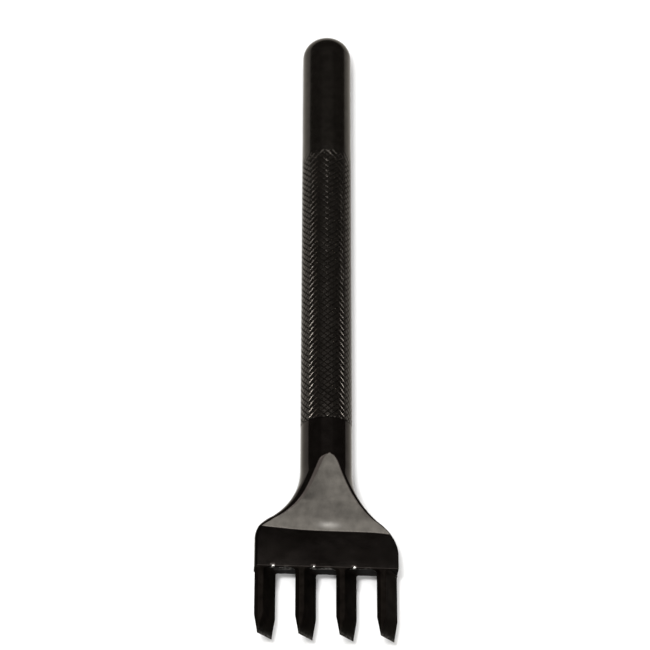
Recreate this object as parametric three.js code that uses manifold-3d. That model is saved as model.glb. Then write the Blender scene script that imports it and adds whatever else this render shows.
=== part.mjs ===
// Four-prong slanted pricking iron (lacing chisel), in millimetres.
//
// The tool lies on its back: its axis is the Y axis, the prongs point to -Y, the domed end that the
// mallet strikes points to +Y, and the front of the head looks up along +Z. The origin is below the
// middle of the tool, at the height of the underside of the handle.
//
// Places along the tool are stations: distances from the cutting edges, measured towards +Y.

import * as THREE from 'three';
import { mergeVertices } from 'three/addons/utils/BufferGeometryUtils.js';
import Module from 'manifold-3d';

const wasm = await Module();
wasm.setup();

// ---- Driving dimensions -------------------------------------------------------------------------

// Handle: one round bar with a domed striking end and a diamond-knurled grip.
const HANDLE_DIAMETER = 8.0;
const DOME_HEIGHT = 3.6;
const DOME_FULLNESS = 2.12; // exponent of the dome's oval: 2 is an ellipse, more is squarer
const CROWN_FLAT_DIAMETER = 1.6;
const COLLAR_LENGTH = 19.8;
const GRIP_LENGTH = 49.1;
const GRIP_EDGE_CHAMFER = 0.25;

// Neck and flare: the round neck opens like a trumpet and two flat facets thin it to the head plate.
const NECK_LENGTH = 5.85;
const FACET_LENGTH = 11.9;
const FLARE_START = 1.7; // how far below the facet's tip the neck begins to open
const FLARE_HOLLOW_RADIUS = 10.5;
const FLARE_SHOULDER_RADIUS = 5.6;

// Head plate that carries the prongs.
const FACE_LENGTH = 5.8;
const HEAD_THICKNESS = 2.95;
const HEAD_SIDE_MARGIN = 0.05;

// Prongs: slanted flat bars whose wide faces taper to a cutting edge.
const PRONG_COUNT = 4;
const PRONG_PITCH = 6.1;
const PRONG_LENGTH = 10.7;
const PRONG_WIDTH = 3.65;
const PRONG_THICKNESS = 1.33;
const PRONG_SLANT = THREE.MathUtils.degToRad(52);
const ROOT_HEIGHT = 0.6; // stub of each prong that stands on the head
const TAPER_LENGTH = 3.0;
const EDGE_LAND = 0.08;

// Joints: a tenon on the head fills a bore in the handle, and a tang on each prong fills a socket.
const TENON_DIAMETER = 4.8;
const TENON_LENGTH = 10.0;
const TENON_CLEARANCE = 0.1;
const TENON_TIP_GAP = 0.4;
const TANG_WIDTH = 2.0;
const TANG_THICKNESS = 0.8;
const TANG_LENGTH = 5.0;
const TANG_CLEARANCE = 0.05;
const TANG_TIP_GAP = 0.2;
const SEAT_GAP = 0.02;

// Fineness of the round shapes.
const TURNED_SEGMENTS = 72;
const DOME_STEPS = 12;
const FLARE_STEPS = 14;

// ---- Derived sizes and stations -----------------------------------------------------------------

const handleRadius = HANDLE_DIAMETER / 2;
const halfThickness = HEAD_THICKNESS / 2;

const undersideStation = PRONG_LENGTH;
const facetLowStation = undersideStation + FACE_LENGTH;
const facetTopStation = facetLowStation + FACET_LENGTH;
const flareStation = facetTopStation - FLARE_START;
const seamStation = facetTopStation + NECK_LENGTH;
const collarStation = seamStation + GRIP_LENGTH;
const domeStation = collarStation + COLLAR_LENGTH;
const totalLength = domeStation + DOME_HEIGHT;

const rootStation = undersideStation - ROOT_HEIGHT;

const along = new THREE.Vector3(0, 1, 0);
const upwards = new THREE.Vector3(0, 0, 1);
const slantAcross = new THREE.Vector3(Math.sin(PRONG_SLANT), 0, Math.cos(PRONG_SLANT));
const slantAlong = new THREE.Vector3(-Math.cos(PRONG_SLANT), 0, Math.sin(PRONG_SLANT));

const prongSpanX = PRONG_WIDTH * Math.cos(PRONG_SLANT) + PRONG_THICKNESS * Math.sin(PRONG_SLANT);
const prongRowX = (PRONG_COUNT - 1) * PRONG_PITCH + prongSpanX;
const headWidth = prongRowX + 2 * HEAD_SIDE_MARGIN;
const cornerRadius = Math.hypot(headWidth / 2, halfThickness);

// ---- Solids -------------------------------------------------------------------------------------

// Turns a closed three.js geometry into a solid that can be joined and cut.
function solidOf(geometry) {
  const bare = geometry.clone();
  bare.deleteAttribute('normal');
  bare.deleteAttribute('uv');
  const merged = mergeVertices(bare, 1e-5);
  return new wasm.Manifold(new wasm.Mesh({
    numProp: 3,
    vertProperties: Float32Array.from(merged.attributes.position.array),
    triVerts: Uint32Array.from(merged.index.array),
  }));
}

function geometryOf(solid) {
  const mesh = solid.getMesh();
  const geometry = new THREE.BufferGeometry();
  geometry.setAttribute('position', new THREE.BufferAttribute(mesh.vertProperties, 3));
  geometry.setIndex(new THREE.BufferAttribute(mesh.triVerts, 1));
  geometry.computeVertexNormals();
  return geometry;
}

// A solid turned about the tool's axis from [radius, station] points that start and end on the axis.
function turned(points) {
  const profile = points.map(([radius, station]) => new THREE.Vector2(radius, station));
  return solidOf(new THREE.LatheGeometry(profile, TURNED_SEGMENTS));
}

// A flat outline drawn on the directions u and v, made length thick and centred on the origin.
function extruded(outline, length, u, v) {
  const w = new THREE.Vector3().crossVectors(u, v);
  const shape = new THREE.Shape(outline.map(([a, b]) => new THREE.Vector2(a, b)));
  const geometry = new THREE.ExtrudeGeometry(shape, { depth: length, bevelEnabled: false });
  geometry.translate(0, 0, -length / 2);
  geometry.applyMatrix4(new THREE.Matrix4().makeBasis(u, v, w));
  return solidOf(geometry);
}

// A bar with a slanted rectangular section that runs along the tool between two stations.
function slantedBar(width, thickness, fromStation, toStation) {
  const outline = [
    [-thickness / 2, fromStation],
    [thickness / 2, fromStation],
    [thickness / 2, toStation],
    [-thickness / 2, toStation],
  ];
  return extruded(outline, width, slantAcross, along);
}

// ---- Handle -------------------------------------------------------------------------------------

// The domed end: a full oval from the handle's side to the small flat on its crown.
function domePoints() {
  const power = 2 / DOME_FULLNESS;
  const crownShare = CROWN_FLAT_DIAMETER / HANDLE_DIAMETER;
  const lastAngle = Math.acos(crownShare ** (1 / power));
  const stretch = DOME_HEIGHT / Math.sin(lastAngle) ** power;
  const points = [];
  for (let i = 0; i <= DOME_STEPS; i += 1) {
    const angle = (lastAngle * i) / DOME_STEPS;
    points.push([
      handleRadius * Math.cos(angle) ** power,
      domeStation + stretch * Math.sin(angle) ** power,
    ]);
  }
  return points;
}

function handleSolid() {
  const boreRadius = TENON_DIAMETER / 2 + TENON_CLEARANCE;
  return turned([
    [0, seamStation + TENON_LENGTH + TENON_TIP_GAP],
    [boreRadius, seamStation + TENON_LENGTH + TENON_TIP_GAP],
    [boreRadius, seamStation],
    [handleRadius - GRIP_EDGE_CHAMFER, seamStation],
    [handleRadius, seamStation + GRIP_EDGE_CHAMFER],
    ...domePoints(),
    [0, totalLength],
  ]);
}

// ---- Head ---------------------------------------------------------------------------------------

// The trumpet from the neck to the head's sides: a hollow arc that meets a round shoulder arc.
function flarePoints() {
  const arcs = FLARE_HOLLOW_RADIUS + FLARE_SHOULDER_RADIUS;
  const slope = Math.acos(1 - (cornerRadius - handleRadius) / arcs);
  const hollow = [];
  const shoulder = [];
  for (let i = 0; i <= FLARE_STEPS; i += 1) {
    const angle = (slope * i) / FLARE_STEPS;
    hollow.push([
      handleRadius + FLARE_HOLLOW_RADIUS * (1 - Math.cos(angle)),
      flareStation - FLARE_HOLLOW_RADIUS * Math.sin(angle),
    ]);
    shoulder.push([
      cornerRadius - FLARE_SHOULDER_RADIUS * (1 - Math.cos(angle)),
      flareStation - arcs * Math.sin(slope) + FLARE_SHOULDER_RADIUS * Math.sin(angle),
    ]);
  }
  return [...hollow, ...shoulder.slice(0, -1).reverse(), [cornerRadius, undersideStation]];
}

// The turned blank of the head, with the tenon on top.
function headBlank() {
  const tenonRadius = TENON_DIAMETER / 2 - TENON_CLEARANCE;
  return turned([
    [0, seamStation + TENON_LENGTH],
    [tenonRadius, seamStation + TENON_LENGTH],
    [tenonRadius, seamStation - SEAT_GAP],
    [handleRadius, seamStation - SEAT_GAP],
    ...flarePoints(),
    [0, undersideStation],
  ].reverse());
}

// The side outline of the head: a flat plate that opens along both facets to clear the neck.
function sideEnvelope() {
  const facetRise = (handleRadius - halfThickness) / FACET_LENGTH;
  const clearStation = seamStation + TENON_LENGTH + 1;
  const clearHeight = halfThickness + (clearStation - facetLowStation) * facetRise;
  const outline = [
    [undersideStation, -halfThickness],
    [facetLowStation, -halfThickness],
    [clearStation, -clearHeight],
    [clearStation, clearHeight],
    [facetLowStation, halfThickness],
    [undersideStation, halfThickness],
  ];
  return extruded(outline, headWidth, along, upwards);
}

// The head with the stubs that the prongs stand on, each bored with a socket for a tang.
function headSolid() {
  let head = headBlank().intersect(sideEnvelope());
  for (const x of prongPlaces()) {
    head = head.add(flushBar(rootStation, undersideStation + 0.1).translate([x, 0, 0]));
    head = head.subtract(socketSolid().translate([x, 0, 0]));
  }
  return head;
}

// ---- Prongs -------------------------------------------------------------------------------------

function prongPlaces() {
  return Array.from({ length: PRONG_COUNT }, (_, i) => (i - (PRONG_COUNT - 1) / 2) * PRONG_PITCH);
}

// Cuts a prong-shaped solid flush with the front and back of the head.
function cutFlush(solid) {
  const faces = [
    [0, -halfThickness],
    [facetLowStation, -halfThickness],
    [facetLowStation, halfThickness],
    [0, halfThickness],
  ];
  return solid.intersect(extruded(faces, 2 * prongSpanX, along, upwards));
}

function flushBar(fromStation, toStation) {
  return cutFlush(slantedBar(PRONG_WIDTH, PRONG_THICKNESS, fromStation, toStation));
}

function socketSolid() {
  return slantedBar(
    TANG_WIDTH + 2 * TANG_CLEARANCE,
    TANG_THICKNESS + 2 * TANG_CLEARANCE,
    rootStation - 1,
    rootStation + TANG_LENGTH + TANG_TIP_GAP,
  );
}

// The free blade: a slanted bar whose wide faces taper to the cutting edge.
function bladeSolid() {
  const top = rootStation - SEAT_GAP;
  const wedge = [
    [-EDGE_LAND / 2, 0],
    [EDGE_LAND / 2, 0],
    [PRONG_THICKNESS / 2, TAPER_LENGTH],
    [PRONG_THICKNESS / 2, top],
    [-PRONG_THICKNESS / 2, top],
    [-PRONG_THICKNESS / 2, TAPER_LENGTH],
  ];
  return cutFlush(extruded(wedge, PRONG_WIDTH, slantAcross, along));
}

function prongSolid() {
  const tang = slantedBar(TANG_WIDTH, TANG_THICKNESS, rootStation - 1, rootStation + TANG_LENGTH);
  return bladeSolid().add(tang);
}

// ---- Assembly -----------------------------------------------------------------------------------

// Black-oxide steel; the blades are a shade darker than the ground head.
function blackSteel(color, roughness) {
  return new THREE.MeshStandardMaterial({ color, roughness, metalness: 0.9 });
}

function addPiece(group, name, solid, material) {
  const mesh = new THREE.Mesh(geometryOf(solid), material);
  mesh.name = name;
  mesh.position.set(0, -totalLength / 2, handleRadius);
  group.add(mesh);
}

const tool = new THREE.Group();
addPiece(tool, 'handle', handleSolid(), blackSteel(0x1c1b1a, 0.42));
addPiece(tool, 'head', headSolid(), blackSteel(0x22201e, 0.5));
prongPlaces().forEach((x, i) => {
  addPiece(tool, `prong_${i + 1}`, prongSolid().translate([x, 0, 0]), blackSteel(0x161515, 0.38));
});

export default tool;
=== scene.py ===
"""Looks of the four-prong pricking iron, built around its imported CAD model.

The tool lies on its back: the prongs point to -Y, the domed striking end to +Y, and the front of the
head looks up along +Z. Sizes here are millimetres and mesh_piece() turns them into metres. Places
along the tool are stations, measured from the cutting edges towards +Y.
"""

import math

import bpy
import numpy as np
from mathutils import Matrix, Vector


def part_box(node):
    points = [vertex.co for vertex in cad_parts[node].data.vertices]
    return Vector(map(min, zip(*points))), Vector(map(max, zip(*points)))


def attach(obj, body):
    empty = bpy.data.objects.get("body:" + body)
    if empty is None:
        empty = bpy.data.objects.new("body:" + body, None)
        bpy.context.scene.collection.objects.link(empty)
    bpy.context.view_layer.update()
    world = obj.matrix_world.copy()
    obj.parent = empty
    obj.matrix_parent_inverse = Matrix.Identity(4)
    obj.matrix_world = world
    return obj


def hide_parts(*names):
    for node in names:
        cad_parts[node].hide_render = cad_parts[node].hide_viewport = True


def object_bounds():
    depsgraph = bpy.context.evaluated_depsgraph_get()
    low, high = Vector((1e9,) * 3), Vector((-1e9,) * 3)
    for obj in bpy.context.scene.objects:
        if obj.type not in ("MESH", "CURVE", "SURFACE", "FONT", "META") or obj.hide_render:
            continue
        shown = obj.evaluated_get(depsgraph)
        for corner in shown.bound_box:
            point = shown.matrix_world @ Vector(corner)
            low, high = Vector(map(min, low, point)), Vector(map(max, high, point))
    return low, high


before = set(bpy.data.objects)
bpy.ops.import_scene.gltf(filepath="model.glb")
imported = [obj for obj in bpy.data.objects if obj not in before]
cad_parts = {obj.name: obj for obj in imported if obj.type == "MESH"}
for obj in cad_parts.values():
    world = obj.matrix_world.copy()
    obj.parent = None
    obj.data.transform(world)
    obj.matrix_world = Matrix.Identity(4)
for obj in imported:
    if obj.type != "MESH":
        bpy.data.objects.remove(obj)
cad_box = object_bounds()

MM = 0.001


def cad_corners(node):
    """Lowest and highest corner of a CAD node, in millimetres."""
    low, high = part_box(node)
    return np.array(low) / MM, np.array(high) / MM


# ---- Sizes read from the CAD model --------------------------------------------------------------

PRONGS = [name for name in sorted(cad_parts) if name.startswith("prong_")]
handle_low, handle_high = cad_corners("handle")
head_low, head_high = cad_corners("head")
prong_low, prong_high = cad_corners(PRONGS[0])

TIP_Y = prong_low[1]
AXIS_Z = (handle_low[2] + handle_high[2]) / 2
HANDLE_RADIUS = (handle_high[0] - handle_low[0]) / 2
HEAD_HALF_WIDTH = (head_high[0] - head_low[0]) / 2
HALF_THICKNESS = (prong_high[2] - prong_low[2]) / 2
SEAM_STATION = handle_low[1] - TIP_Y
PRONG_PLACES = [sum(corner[0] for corner in cad_corners(name)) / 2 for name in PRONGS]

# ---- Sizes of the looks, in millimetres ---------------------------------------------------------

CROWN_DROP = 0.2
DOME_HEIGHT = 3.6
DOME_FULLNESS = 2.12
CROWN_FLAT_RADIUS = 0.8
GRIP_LENGTH = 49.1
BORE_RADIUS = 2.5
BORE_DEPTH = 10.4
TENON_RADIUS = 2.3
TENON_LENGTH = 10.0
SEAT_GAP = 0.02
END_CHAMFER = 0.1

KNURLS_AROUND = 22
KNURL_ROWS = 49
KNURL_STEPS = 8
KNURL_DEPTH = 0.11
KNURL_FADE_LOW = 0.3
KNURL_FADE_TOP = 2.5
KNURL_CREST_CUT = 0.25
KNURL_WEAR = 0.12
KNURL_WEAR_POWER = 6

FACE_LENGTH = 5.9
FACET_LENGTH = 11.7
FLARE_START = 1.6
FLARE_HOLLOW_RADIUS = 10.5
RIGHT_SHOULDER_RADIUS = 6.4
LEFT_SHOULDER_RADIUS = 4.6
RIGHT_FLARE_RISE = -0.08
LEFT_FLARE_RISE = 0.35
FACET_ROLL_LENGTH = 2.0
FACET_ROLL_SHARE = 0.58
RIGHT_EDGE_RADIUS = 0.95
LEFT_EDGE_RADIUS = 2.2
FACET_TWIST = math.radians(3.5)
FACET_TWIST_START = 4.5
HEAD_EDGE_RADIUS = 0.16
HEAD_LEFT_EDGE_RADIUS = 0.6
SECTION_EDGE_SHARE = 0.9
SECTION_EDGE_LIMIT = 0.85
CREASE_SKEW = 0.011
SHOULDER_SKEW = 0.042
CREASE_SAG = 0.14
CREASE_SAG_NARROWING = 1.5
UNDERSIDE_DROP = 0.25
ROOT_HEIGHT = 0.6

DIP_REACH = 1.2
DIP_SLOPE = math.tan(math.radians(15))
CORNER_DIP_LENGTH = 0.50
CORNER_DIP_OFFSET = 1.05
CORNER_DIP_HALF_WIDTH = 0.22
GAP_DIP_LENGTH = 0.20
GAP_DIP_OFFSET = 0.1
GAP_DIP_HALF_WIDTH = 0.5
# The dips carry a painted highlight. It grows brighter with a dip's depth up to DIP_FULL_HIGHLIGHT, and
# past DIP_PAINTED_HIGHLIGHT the dip takes a bright steel colour as a painted highlight.
DIP_FULL_HIGHLIGHT = 0.08
DIP_PAINTED_HIGHLIGHT = 0.06

# A painted highlight on the facet's foot: its place, size and strength.
HIGHLIGHT_SPOT_X = 0.35
HIGHLIGHT_SPOT_RISE = 0.9
HIGHLIGHT_SPOT_HALF_WIDTH = 1.4
HIGHLIGHT_SPOT_HALF_LENGTH = 0.45
HIGHLIGHT_SPOT_STRENGTH = 0.75

PRONG_WIDTH = 3.65
PRONG_THICKNESS = 1.33
PRONG_SLANT = math.radians(52)
TAPER_LENGTH = 3.0
EDGE_LAND = 0.08
PRONG_EDGE_RADIUS = 0.09
ROOT_FILLET = 0.45
ROOT_OVERLAP = 0.05
TIP_WEAR_LENGTH = 0.25

UNDERSIDE_STATION = head_low[1] - TIP_Y + ROOT_HEIGHT
PLATE_STATION = UNDERSIDE_STATION - UNDERSIDE_DROP
FACET_LOW_STATION = UNDERSIDE_STATION + FACE_LENGTH
FACET_TOP_STATION = FACET_LOW_STATION + FACET_LENGTH
FLARE_STATION = FACET_TOP_STATION - FLARE_START
GRIP_END_STATION = SEAM_STATION + GRIP_LENGTH
CROWN_STATION = handle_high[1] - TIP_Y - CROWN_DROP
DOME_STATION = CROWN_STATION - DOME_HEIGHT
CORNER_RADIUS = math.hypot(HEAD_HALF_WIDTH, HALF_THICKNESS)
FACET_RISE = (HANDLE_RADIUS - HALF_THICKNESS) / FACET_LENGTH
PRONG_PITCH = PRONG_PLACES[1] - PRONG_PLACES[0]


# ---- Mesh tools ---------------------------------------------------------------------------------


def mesh_piece(name, points, faces, materials, face_material=None, wear_and_highlight=None):
    """A mesh object from points (x, station, height above the axis) in millimetres."""
    places = np.array(points, float) + (0.0, TIP_Y, AXIS_Z)
    mesh = bpy.data.meshes.new(name)
    mesh.from_pydata((places * MM).tolist(), [], faces)
    for material in materials:
        mesh.materials.append(material)
    if face_material is not None:
        mesh.polygons.foreach_set("material_index", face_material)
    attribute = mesh.attributes.new("wear_and_highlight", "FLOAT", "POINT")
    attribute.data.foreach_set("value", np.zeros(len(points)) if wear_and_highlight is None else wear_and_highlight)
    mesh.validate()
    mesh.shade_smooth()
    piece = bpy.data.objects.new(name, mesh)
    bpy.context.scene.collection.objects.link(piece)
    return piece


def ring_faces(ring_count, ring_size, diagonals=None):
    """Faces between rings of points, with both ends closed. diagonals(ring, side) splits a cell."""
    faces = []
    for ring in range(ring_count - 1):
        for side in range(ring_size):
            after = (side + 1) % ring_size
            a, b = ring * ring_size + side, ring * ring_size + after
            c, d = b + ring_size, a + ring_size
            split = diagonals(ring, side) if diagonals else None
            if split is None:
                faces.append((a, b, c, d))
            elif split:
                faces += [(a, b, d), (b, c, d)]
            else:
                faces += [(a, b, c), (a, c, d)]
    last = (ring_count - 1) * ring_size
    faces.append(tuple(reversed(range(ring_size))))
    faces.append(tuple(range(last, last + ring_size)))
    return faces


def weighted_normals(piece):
    """Keeps large flat faces flat next to their small rounded edges."""
    modifier = piece.modifiers.new("flat faces", "WEIGHTED_NORMAL")
    modifier.weight = 90
    modifier.keep_sharp = True


# ---- Handle -------------------------------------------------------------------------------------


def knurl_height(around, row):
    """Height from 0 in the grooves to 1 on the crests of a diamond knurl."""
    first = np.abs((around + row) % 1.0 - 0.5)
    second = np.abs((around - row) % 1.0 - 0.5)
    pyramid = 1.0 - 2.0 * np.maximum(first, second)
    return np.minimum(pyramid, KNURL_CREST_CUT) / KNURL_CREST_CUT


COLLAR_RINGS = 19
DOME_STEPS = 28


def dome_profile():
    """(radius, station) points of the oval striking end, from the side to the crown's flat."""
    power = 2 / DOME_FULLNESS
    last = math.acos((CROWN_FLAT_RADIUS / HANDLE_RADIUS) ** (1 / power))
    stretch = DOME_HEIGHT / math.sin(last) ** power
    angles = [last * i / DOME_STEPS for i in range(1, DOME_STEPS + 1)]
    return [
        (HANDLE_RADIUS * math.cos(a) ** power, DOME_STATION + stretch * math.sin(a) ** power)
        for a in angles
    ]


def build_handle(material):
    """The turned bar: bore, knurled grip, smooth collar and dome."""
    count = KNURLS_AROUND * KNURL_STEPS
    turns = np.arange(count) / count
    around = turns * KNURLS_AROUND
    angle = turns * 2 * math.pi
    rings = []
    wear_and_highlight = []

    def add_ring(radius, station, worn=0.0):
        radius = np.broadcast_to(radius, angle.shape)
        rings.append(np.stack([radius * np.sin(angle), np.full(count, station), radius * np.cos(angle)], 1))
        wear_and_highlight.append(np.broadcast_to(worn, angle.shape))

    bottom = SEAM_STATION
    add_ring(BORE_RADIUS * 0.02, bottom + BORE_DEPTH)
    add_ring(BORE_RADIUS, bottom + BORE_DEPTH)
    add_ring(BORE_RADIUS, bottom)
    add_ring(HANDLE_RADIUS - KNURL_DEPTH - END_CHAMFER, bottom)
    first_knurl_ring = len(rings)
    rows = KNURL_ROWS * KNURL_STEPS
    for i in range(rows + 1):
        row = i / KNURL_STEPS
        station = bottom + END_CHAMFER + row * (GRIP_LENGTH - END_CHAMFER) / KNURL_ROWS
        fade = min((station - bottom) / KNURL_FADE_LOW, (GRIP_END_STATION - station) / KNURL_FADE_TOP)
        depth = KNURL_DEPTH * min(1.0, max(fade, 0.0))
        height = knurl_height(around, row)
        add_ring(HANDLE_RADIUS - depth * (1 - height), station, KNURL_WEAR * height**KNURL_WEAR_POWER)
    last_knurl_ring = len(rings) - 1
    for i in range(1, COLLAR_RINGS + 1):
        add_ring(HANDLE_RADIUS, GRIP_END_STATION + (DOME_STATION - GRIP_END_STATION) * i / COLLAR_RINGS)
    for radius, station in dome_profile():
        add_ring(radius, station)
    add_ring(CROWN_FLAT_RADIUS * 0.05, CROWN_STATION)

    def diagonals(ring, side):
        """Splits the cells under the left-leaning grooves along them, and the rest the other way."""
        if not first_knurl_ring <= ring < last_knurl_ring:
            return None
        row = ring - first_knurl_ring
        return (side + row + 1) % KNURL_STEPS == 0

    faces = ring_faces(len(rings), count, diagonals)
    points = np.concatenate(rings)
    handle = mesh_piece("knurled_handle", points, faces, [material], wear_and_highlight=np.concatenate(wear_and_highlight))
    handle.data.set_sharp_from_angle(angle=math.radians(24))
    return handle


# ---- Head ---------------------------------------------------------------------------------------


def flare_radius(station, shoulder):
    """Radius of the turned flare at a station, for a given shoulder radius."""
    arcs = FLARE_HOLLOW_RADIUS + shoulder
    slope = math.acos(1 - (CORNER_RADIUS - HANDLE_RADIUS) / arcs)
    below = FLARE_STATION - station
    if below <= 0:
        return HANDLE_RADIUS
    if below <= FLARE_HOLLOW_RADIUS * math.sin(slope):
        return HANDLE_RADIUS + FLARE_HOLLOW_RADIUS - math.sqrt(FLARE_HOLLOW_RADIUS**2 - below**2)
    above = arcs * math.sin(slope) - below
    if above >= 0:
        return CORNER_RADIUS - shoulder + math.sqrt(shoulder**2 - above**2)
    return CORNER_RADIUS


def slab_height(station):
    """Half the head's thickness at a station: the flat plate, then the facet with its soft foot."""
    above = station - FACET_LOW_STATION
    if above <= 0:
        return HALF_THICKNESS
    foot_slope = FACET_RISE * FACET_ROLL_SHARE
    if above < FACET_ROLL_LENGTH:
        gain = (FACET_RISE - foot_slope) * above / FACET_ROLL_LENGTH / 2
        return HALF_THICKNESS + above * (foot_slope + gain)
    start = FACET_ROLL_LENGTH * (FACET_RISE + foot_slope) / 2
    full = FACET_LENGTH - FACET_ROLL_LENGTH
    slope = (HANDLE_RADIUS - HALF_THICKNESS - start) / full
    return HALF_THICKNESS + start + (above - FACET_ROLL_LENGTH) * slope


RIGHT_SIDE = (RIGHT_SHOULDER_RADIUS, RIGHT_FLARE_RISE, HEAD_EDGE_RADIUS, RIGHT_EDGE_RADIUS)
LEFT_SIDE = (LEFT_SHOULDER_RADIUS, LEFT_FLARE_RISE, HEAD_LEFT_EDGE_RADIUS, LEFT_EDGE_RADIUS)
HEAD_FLAT_STEPS = 150
HEAD_CORNER_STEPS = 8
HEAD_SIDE_STEPS = 26
NECK_FLAT_ANGLE = math.radians(1.5)


def half_section(radius, slab, half_width, edge):
    """(x, z) points of the section's right half, from the front's middle round to the back's."""
    inner_radius = radius - edge
    inner_slab = min(slab - edge, inner_radius * math.cos(NECK_FLAT_ANGLE))
    reach = math.sqrt(inner_radius**2 - inner_slab**2)
    clipped = reach > half_width - edge
    reach = min(reach, half_width - edge)
    side_angle = math.pi / 2 if clipped else math.atan2(reach, inner_slab)
    flat = [(reach * i / HEAD_FLAT_STEPS * 2, inner_slab + edge) for i in range(HEAD_FLAT_STEPS // 2)]
    corner = [
        (reach + edge * math.sin(t), inner_slab + edge * math.cos(t))
        for t in (side_angle * i / HEAD_CORNER_STEPS for i in range(HEAD_CORNER_STEPS + 1))
    ]
    side = []
    for i in range(1, HEAD_SIDE_STEPS):
        share = i / HEAD_SIDE_STEPS
        if clipped:
            side.append((half_width, inner_slab * (1 - 2 * share)))
        else:
            t = side_angle + (math.pi - 2 * side_angle) * share
            side.append((radius * math.sin(t), radius * math.cos(t)))
    front = flat + corner
    back = [(x, -z) for x, z in reversed(front)]
    return front + side + back


def edge_radius(station, on_plate, along_facet):
    """Radius of the section's edges, growing from the plate's to the one beside the facet."""
    share = min(1.0, max(0.0, station - FACET_LOW_STATION) / FACET_ROLL_LENGTH)
    wanted = on_plate + (along_facet - on_plate) * share
    return SECTION_EDGE_SHARE * min(wanted, SECTION_EDGE_LIMIT * slab_height(station))


def twist(station):
    """Angle about the tool's axis by which the facet is ground out of square, growing upwards."""
    above = station - FACET_LOW_STATION - FACET_TWIST_START
    return FACET_TWIST * min(1.0, max(0.0, above) / (FACET_LENGTH - FACET_TWIST_START))


def run_out(x, z, above):
    """How far the plate dips at its lower edge, where the blades' wide faces were ground."""
    if above >= DIP_REACH or abs(z) <= HALF_THICKNESS * 0.7:
        return 0.0
    x = math.copysign(1, z) * x
    length = 0.0
    for place in PRONG_PLACES[:-1]:
        beside_blade = (x - place - CORNER_DIP_OFFSET) / CORNER_DIP_HALF_WIDTH
        in_gap = (x - place - PRONG_PITCH / 2 - GAP_DIP_OFFSET) / GAP_DIP_HALF_WIDTH
        length += CORNER_DIP_LENGTH * math.exp(-(beside_blade**6))
        length += GAP_DIP_LENGTH * math.exp(-(in_gap**4))
    return max(0.0, length - above) * DIP_SLOPE


UNDERSIDE_RINGS = 4
DIP_RINGS = 16
DIP_RING_STEP = 0.06
PLATE_RINGS = 8
ROLL_RINGS = 10
FACET_RINGS = 48
NECK_RINGS = 8
GAP_BELOW_CREASE = 0.1
REACH_PAST_FACET = 0.4


def head_stations():
    """(station, inset) pairs of the head's rings, from the rounded lower edge to the seam."""
    rings = []

    def add_up_to(high, count):
        low = rings[-1][0]
        rings.extend((low + (high - low) * i / count, 0.0) for i in range(1, count + 1))

    for i in range(UNDERSIDE_RINGS + 1):
        t = math.pi / 2 * i / UNDERSIDE_RINGS
        rings.append((PLATE_STATION + HEAD_EDGE_RADIUS * (1 - math.cos(t)),
                      HEAD_EDGE_RADIUS * (1 - math.sin(t))))
    low = PLATE_STATION + HEAD_EDGE_RADIUS
    rings += [(low + DIP_RING_STEP * i, 0.0) for i in range(1, DIP_RINGS + 1)]
    add_up_to(FACET_LOW_STATION - GAP_BELOW_CREASE, PLATE_RINGS)
    rings += [(FACET_LOW_STATION + FACET_ROLL_LENGTH * i / ROLL_RINGS, 0.0) for i in range(ROLL_RINGS + 1)]
    add_up_to(FACET_TOP_STATION + REACH_PAST_FACET, FACET_RINGS)
    add_up_to(SEAM_STATION - SEAT_GAP, NECK_RINGS)
    return rings


def skew(x, station):
    """Small errors of squareness: the left shoulder is higher and the crease sags in the middle."""
    rise = min(1.0, (station - PLATE_STATION) / FACE_LENGTH)
    fade = min(1.0, (SEAM_STATION - station) / (SEAM_STATION - FACET_TOP_STATION))
    outward = min(1.0, abs(x) / HEAD_HALF_WIDTH)
    lean = -(CREASE_SKEW + SHOULDER_SKEW * outward**2) * x
    sag = -CREASE_SAG * max(0.0, 1 - (CREASE_SAG_NARROWING * outward) ** 2)
    return (lean + sag) * max(rise, 0.0) * max(fade, 0.0)


def painted_highlight_spot(x, station):
    """Strength of the painted highlight: a bright spot painted in the middle of the facet's foot."""
    across = (x - HIGHLIGHT_SPOT_X) / HIGHLIGHT_SPOT_HALF_WIDTH
    along = (station - FACET_LOW_STATION - HIGHLIGHT_SPOT_RISE) / HIGHLIGHT_SPOT_HALF_LENGTH
    return HIGHLIGHT_SPOT_STRENGTH * math.exp(-across**2 - along**2)


def head_ring(station, inset):
    """(x, z) points of the whole section at a station, drawn in by inset."""
    right, left = [
        half_section(flare_radius(station - rise, shoulder) - inset, slab_height(station) - inset,
                     HEAD_HALF_WIDTH - inset, edge_radius(station, *edges))
        for shoulder, rise, *edges in (RIGHT_SIDE, LEFT_SIDE)
    ]
    return right + [(-x, z) for x, z in reversed(left)][1:-1]


# PAINTED_HIGHLIGHT is the painted highlight in the deepest dips; SHADED_PLATE is the plate's darker copy of
# the black oxide, painted shade.
BLACK, FACET, ROUGH, PAINTED_HIGHLIGHT, SHADED_PLATE = range(5)
CREASE_MARGIN = 0.01
TIP_MARGIN = 0.05


def head_finish(station, in_underside, on_flat, dip):
    """Which finish a face of the head has, from the corner that it starts at: a painted highlight in the
    deepest dips, the facet, the rough underside, the plate's painted-shade copy, or plain black.
    """
    if dip > DIP_PAINTED_HIGHLIGHT:
        return PAINTED_HIGHLIGHT
    if on_flat and FACET_LOW_STATION - CREASE_MARGIN <= station < FACET_TOP_STATION - TIP_MARGIN:
        return FACET
    if in_underside:
        return ROUGH
    return SHADED_PLATE if station < FACET_LOW_STATION - CREASE_MARGIN else BLACK


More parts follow.
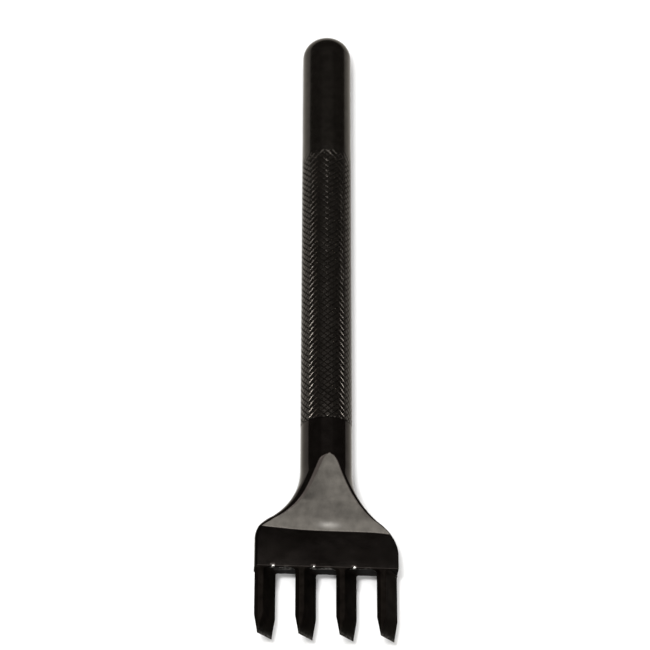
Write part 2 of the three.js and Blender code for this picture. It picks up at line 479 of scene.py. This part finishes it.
def head_finishes(stations, dips, size):
    """The finish of each face of the head, in the order of ring_faces."""
    flat = HEAD_FLAT_STEPS // 2
    middle = size / 2
    finishes = []
    for ring in range(len(stations) + 1):
        station = stations[min(ring, len(stations) - 1)][0]
        for side in range(size):
            on_flat = side < flat or side >= size - flat or abs(side + 0.5 - middle) < flat
            dip = dips[ring * size + side]
            finishes.append(head_finish(station, ring < UNDERSIDE_RINGS, on_flat, dip))
    return finishes + [ROUGH, BLACK]


def build_head(materials):
    """Neck, flare, facets and plate as one mesh of rings, and the tenon above them."""
    points = []
    wear_and_highlight = []
    dips = []
    stations = head_stations()
    for station, inset in stations:
        ring = head_ring(station, inset)
        turn_x, turn_z = math.sin(twist(station)), math.cos(twist(station))
        for x, z in ring:
            dip = run_out(x, z, station - PLATE_STATION)
            z -= math.copysign(dip, z)
            x, z = x * turn_z + z * turn_x, z * turn_z - x * turn_x
            points.append((x, station + skew(x, station), z))
            dips.append(dip)
            on_front = z > HALF_THICKNESS * 0.7
            # On the front the wear attribute holds painted highlights: the bright spot on the facet's foot,
            # and the dips, brighter as they deepen.
            wear_and_highlight.append(painted_highlight_spot(x, station) + dip / DIP_FULL_HIGHLIGHT if on_front else 0.0)
    for station in (SEAM_STATION - SEAT_GAP, SEAM_STATION + TENON_LENGTH):
        for x, z in ring:
            share = TENON_RADIUS / math.hypot(x, z)
            points.append((x * share, station, z * share))
            dips.append(0.0)
            wear_and_highlight.append(0.0)
    faces = ring_faces(len(stations) + 2, len(ring))
    finishes = head_finishes(stations, dips, len(ring))
    head = mesh_piece("ground_head", points, faces, materials, finishes, wear_and_highlight)
    head.data.set_sharp_from_angle(angle=math.radians(60))
    weighted_normals(head)
    return head


# ---- Prongs -------------------------------------------------------------------------------------

TAPER_RINGS = 6
ROOT_RINGS = 8
BLADE_EDGE_STEPS = 4

slant_across = np.array((math.sin(PRONG_SLANT), math.cos(PRONG_SLANT)))
slant_along = np.array((-math.cos(PRONG_SLANT), math.sin(PRONG_SLANT)))


def blade_section(width, thickness, edge):
    """(x, z) ring of a slanted bar cut flush with the head's faces, with rounded edges."""
    w, t, limit = width / 2 - edge, thickness / 2 - edge, HALF_THICKNESS - edge
    corner = slant_along * w + slant_across * t
    over = max(0.0, corner[1] - limit)
    on_wide = corner - slant_along * over / slant_along[1]
    on_narrow = corner - slant_across * over / slant_across[1]
    far = slant_along * w - slant_across * t
    half = [(on_wide, 0), (on_narrow, 1), (far, 2)]
    normals = [math.atan2(slant_across[1], slant_across[0]), math.pi / 2,
               math.atan2(slant_along[1], slant_along[0])]
    normals.append(normals[0] + math.pi)
    ring = []
    for sign in (1, -1):
        for vertex, index in half:
            for i in range(BLADE_EDGE_STEPS + 1):
                angle = normals[index] + (normals[index + 1] - normals[index]) * i / BLADE_EDGE_STEPS
                ring.append(sign * (vertex + edge * np.array((math.cos(angle), math.sin(angle)))))
    return ring


def build_blade(name, place, material):
    """One slanted blade, from its filleted root to the cutting edge."""
    root = PLATE_STATION
    stations = [TAPER_LENGTH * i / TAPER_RINGS for i in range(TAPER_RINGS + 1)]
    straight = root - ROOT_FILLET - TAPER_LENGTH
    stations += [TAPER_LENGTH + straight * i / ROOT_RINGS for i in range(1, ROOT_RINGS + 1)]
    turns = [math.pi / 2 * i / ROOT_RINGS for i in range(1, ROOT_RINGS + 1)]
    stations += [root - ROOT_FILLET * math.cos(turn) for turn in turns]
    stations.append(root + ROOT_OVERLAP)
    points = []
    wear_and_highlight = []
    for station in stations:
        share = min(1.0, station / TAPER_LENGTH)
        thickness = EDGE_LAND + (PRONG_THICKNESS - EDGE_LAND) * share
        near = max(0.0, min(ROOT_FILLET, station - root + ROOT_FILLET))
        grow = ROOT_FILLET - math.sqrt(ROOT_FILLET**2 - near**2)
        edge = min(PRONG_EDGE_RADIUS, thickness * 0.4)
        ring = blade_section(PRONG_WIDTH + 2 * grow, thickness + 2 * grow, edge)
        for x, z in ring:
            x = max(-HEAD_HALF_WIDTH, min(HEAD_HALF_WIDTH, x + place))
            points.append((x, station, z))
            wear_and_highlight.append(math.exp(-station / TIP_WEAR_LENGTH))
    faces = ring_faces(len(stations), len(ring))
    blade = mesh_piece(name, points, faces, [material], wear_and_highlight=wear_and_highlight)
    blade.data.set_sharp_from_angle(angle=math.radians(60))
    weighted_normals(blade)
    return blade


# ---- Materials ----------------------------------------------------------------------------------


class Nodes:
    """A short way to write a node tree."""

    def __init__(self, name):
        self.material = bpy.data.materials.new(name)
        self.material.use_nodes = True
        self.tree = self.material.node_tree
        self.shader = self.tree.nodes["Principled BSDF"]
        self.position = self.add("ShaderNodeTexCoord").outputs["Object"]

    def add(self, kind, **settings):
        node = self.tree.nodes.new(kind)
        for key, value in settings.items():
            if key in node.inputs:
                node.inputs[key].default_value = value
            else:
                setattr(node, key, value)
        return node

    def link(self, source, target):
        self.tree.links.new(source, target)

    def stretched(self, scale):
        node = self.add("ShaderNodeMapping")
        node.inputs["Scale"].default_value = scale
        self.link(self.position, node.inputs["Vector"])
        return node.outputs["Vector"]

    def noise(self, scale, detail=4.0, along=(1, 1, 1)):
        node = self.add("ShaderNodeTexNoise", Scale=scale, Detail=detail)
        self.link(self.stretched(along), node.inputs["Vector"])
        return node.outputs["Fac"]

    def ramp(self, value, low, high, low_out, high_out):
        node = self.add("ShaderNodeMapRange")
        limits = {"From Min": low, "From Max": high, "To Min": low_out, "To Max": high_out}
        for key, number in limits.items():
            node.inputs[key].default_value = number
        self.link(value, node.inputs["Value"])
        return node.outputs["Result"]

    def mix(self, factor, first, second):
        node = self.add("ShaderNodeMix", data_type="RGBA")
        node.inputs[6].default_value = (*first, 1) if isinstance(first, tuple) else (0, 0, 0, 1)
        node.inputs[7].default_value = (*second, 1) if isinstance(second, tuple) else (0, 0, 0, 1)
        if not isinstance(first, tuple):
            self.link(first, node.inputs[6])
        if not isinstance(second, tuple):
            self.link(second, node.inputs[7])
        self.link(factor, node.inputs[0])
        return node.outputs[2]

    def bump(self, height, distance, strength=1.0, before=None):
        node = self.add("ShaderNodeBump", Strength=strength, Distance=distance)
        self.link(height, node.inputs["Height"])
        if before is not None:
            self.link(before, node.inputs["Normal"])
        return node.outputs["Normal"]


MOTTLE_SCALE = 800
WEAR_AND_HIGHLIGHT_SCALE = 2600
GLOSS_SCALE = 420
MARK_SCALE = 900
PIT_SCALE = 5200
# Colour of the patches: real wear on the knurl crests and blade tips, and painted highlights on the head's
# facet foot and ground dips.
WEAR_AND_HIGHLIGHT_COLOUR = (0.16, 0.152, 0.142)
WEAR_AND_HIGHLIGHT_MOST = 0.8


def black_oxide(name, dark, light, rough, grain, grain_depth, metal=0.9, edge_tint=0.74, level=0.25,
                wear_and_highlight_least=0.0):
    """Blackened steel: mottled from dark to light, unevenly glossy, with tool marks, wear and painted
    highlights.

    The wear attribute shows WEAR_AND_HIGHLIGHT_COLOUR in patches, as strongly as wear_and_highlight_least
    to WEAR_AND_HIGHLIGHT_MOST: real wear on the knurl crests and blade tips, and painted highlights on the
    head.
    """
    n = Nodes(name)
    colour = n.mix(n.ramp(n.noise(MOTTLE_SCALE, 5.0), 0.3, 0.7, 0, 1), dark, light)
    wear_and_highlight = n.add("ShaderNodeAttribute", attribute_name="wear_and_highlight").outputs["Fac"]
    masked = n.add("ShaderNodeMath", operation="MULTIPLY")
    n.link(wear_and_highlight, masked.inputs[0])
    n.link(n.ramp(n.noise(WEAR_AND_HIGHLIGHT_SCALE, 3.0), 0.35, 0.7, wear_and_highlight_least, WEAR_AND_HIGHLIGHT_MOST), masked.inputs[1])
    colour = n.mix(masked.outputs[0], colour, WEAR_AND_HIGHLIGHT_COLOUR)
    n.link(colour, n.shader.inputs["Base Color"])
    gloss = n.ramp(n.noise(GLOSS_SCALE, 5.0), 0.3, 0.7, rough * 0.8, rough * 1.2)
    n.link(gloss, n.shader.inputs["Roughness"])
    marks = n.bump(n.noise(MARK_SCALE, 3.0, grain), grain_depth)
    n.link(n.bump(n.noise(PIT_SCALE, 2.0), grain_depth * 0.5, before=marks), n.shader.inputs["Normal"])
    n.shader.inputs["Metallic"].default_value = metal
    n.shader.inputs["Specular IOR Level"].default_value = level
    n.shader.inputs["Specular Tint"].default_value = (edge_tint, edge_tint * 0.97, edge_tint * 0.92, 1)
    return n.material


handle_black = black_oxide("handle_black_oxide", (0.022, 0.0193, 0.0168), (0.034, 0.0300, 0.0260),
                           0.19, (1, 14, 1), 0.000002)
head_black = black_oxide("head_black_oxide", (0.014, 0.0116, 0.0104), (0.022, 0.0185, 0.0166),
                         0.10, (14, 1, 14), 0.000001)
# The plate's faces take a darker copy of the head's black oxide: painted shade that offsets the lamps'
# light on the plate.
plate_shaded_black = black_oxide("plate_painted_shade_oxide", (0.0070, 0.0057, 0.0051), (0.0110, 0.0092, 0.0082),
                          0.10, (14, 1, 14), 0.000001)
blade_black = black_oxide("blade_black_oxide", (0.0020, 0.0015, 0.0012), (0.0056, 0.0044, 0.0036),
                          0.50, (14, 1, 14), 0.000003, metal=0.5, edge_tint=0.5, level=0.02)
underside_black = black_oxide("underside_black_oxide", (0.0020, 0.0016, 0.0013), (0.0060, 0.0051, 0.0041),
                              0.65, (2, 2, 2), 0.000004, metal=0.3, edge_tint=0.3, level=0.05)
# wear_and_highlight_least=0.65 makes the painted highlight spot on the facet's foot show at nearly full
# strength.
facet_black = black_oxide("ground_facet", (0.030, 0.0275, 0.0242), (0.047, 0.0432, 0.0380),
                          0.17, (12, 1, 12), 0.0000015, wear_and_highlight_least=0.65)
# Bright steel colour painted into the deepest ground dips at the plate's lower edge: a painted highlight.
highlight_steel = black_oxide("painted_highlight_steel", (0.20, 0.195, 0.186), (0.50, 0.49, 0.47),
                         0.25, (2, 2, 2), 0.000004)

# ---- Pieces -------------------------------------------------------------------------------------

handle = build_handle(handle_black)
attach(handle, "root")
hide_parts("handle")

head = build_head([head_black, facet_black, underside_black, highlight_steel, plate_shaded_black])
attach(head, "root")
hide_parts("head")

for number, (node, place) in enumerate(zip(PRONGS, PRONG_PLACES), start=1):
    blade = build_blade(f"blade_{number}", place, blade_black)
    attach(blade, "root")
    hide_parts(node)

# ---- Floor, light and camera --------------------------------------------------------------------


FLOOR_REACH = 6.0


def build_floor():
    """A plain pale table top, larger than any view."""
    mesh = bpy.data.meshes.new("floor")
    reach = FLOOR_REACH
    level = cad_box[0].z
    mesh.from_pydata([(-reach, -reach, level), (reach, -reach, level), (reach, reach, level),
                      (-reach, reach, level)], [], [(0, 1, 2, 3)])
    floor = bpy.data.objects.new("floor", mesh)
    bpy.context.scene.collection.objects.link(floor)
    n = Nodes("pale_floor")
    n.link(n.mix(n.noise(3, 2.0), (0.90, 0.90, 0.90), (0.93, 0.93, 0.93)), n.shader.inputs["Base Color"])
    n.shader.inputs["Roughness"].default_value = 0.9
    n.shader.inputs["Specular IOR Level"].default_value = 0.1
    mesh.materials.append(n.material)


def softbox(name, tilt_x, tilt_y, distance, size_x, size_y, radiance):
    """A rectangular light that faces the tool, tilt_x to the right and tilt_y to +Y from overhead."""
    light = bpy.data.lights.new(name, "AREA")
    light.shape = "RECTANGLE"
    light.size = size_x
    light.size_y = size_y
    light.energy = radiance * math.pi * size_x * size_y
    outward = Vector((math.tan(math.radians(tilt_x)), math.tan(math.radians(tilt_y)), 1)).normalized()
    across = Vector((0, 1, 0)).cross(outward).normalized()
    lamp = bpy.data.objects.new(name, light)
    lamp.matrix_world = Matrix((across, outward.cross(across), outward)).transposed().to_4x4()
    lamp.location = outward * distance
    bpy.context.scene.collection.objects.link(lamp)


def build_lights():
    softbox("overhead", -2, 3, 0.55, 0.50, 0.19, 4.4)
    softbox("band", 0, 14, 0.60, 0.50, 0.06, 8.0)
    softbox("key", -14, -15, 0.45, 0.10, 0.07, 64.0)
    softbox("front", -2, -43.5, 0.60, 0.14, 0.07, 40.0)
    softbox("sky", 0, 32, 0.70, 0.60, 0.22, 0.10)
    world = bpy.data.worlds.new("room")
    world.use_nodes = True
    world.node_tree.nodes["Background"].inputs["Color"].default_value = (0.10, 0.09, 0.078, 1)
    bpy.context.scene.world = world


CAMERA_TILT = math.radians(28)
CAMERA_TURN = math.radians(3.7066)
CAMERA_ROLL = math.radians(-0.104)
CAMERA_PLACE = Vector((-21.157, UNDERSIDE_STATION + TIP_Y - 130.48, AXIS_Z + 323.1)) * MM
CAMERA_LENS = 127.98


def build_camera():
    """Looks down on the tool, tilted towards the prongs."""
    tilt, turn, roll = CAMERA_TILT, CAMERA_TURN, CAMERA_ROLL
    look = Vector((math.sin(turn) * math.cos(tilt), math.sin(tilt), -math.cos(turn) * math.cos(tilt)))
    level_up = Vector((-math.sin(turn) * math.sin(tilt), math.cos(tilt), math.cos(turn) * math.sin(tilt)))
    level_right = look.cross(level_up)
    up = level_up * math.cos(roll) + level_right * math.sin(roll)
    right = level_right * math.cos(roll) - level_up * math.sin(roll)
    pose = Matrix((right, up, -look)).transposed().to_4x4()
    pose.translation = CAMERA_PLACE
    data = bpy.data.cameras.new("camera")
    data.lens = CAMERA_LENS
    data.sensor_width = 36
    data.clip_start = 0.01
    camera = bpy.data.objects.new("camera", data)
    camera.matrix_world = pose
    bpy.context.scene.collection.objects.link(camera)
    bpy.context.scene.camera = camera


build_floor()
build_lights()
build_camera()
bpy.context.scene.view_settings.view_transform = "Standard"
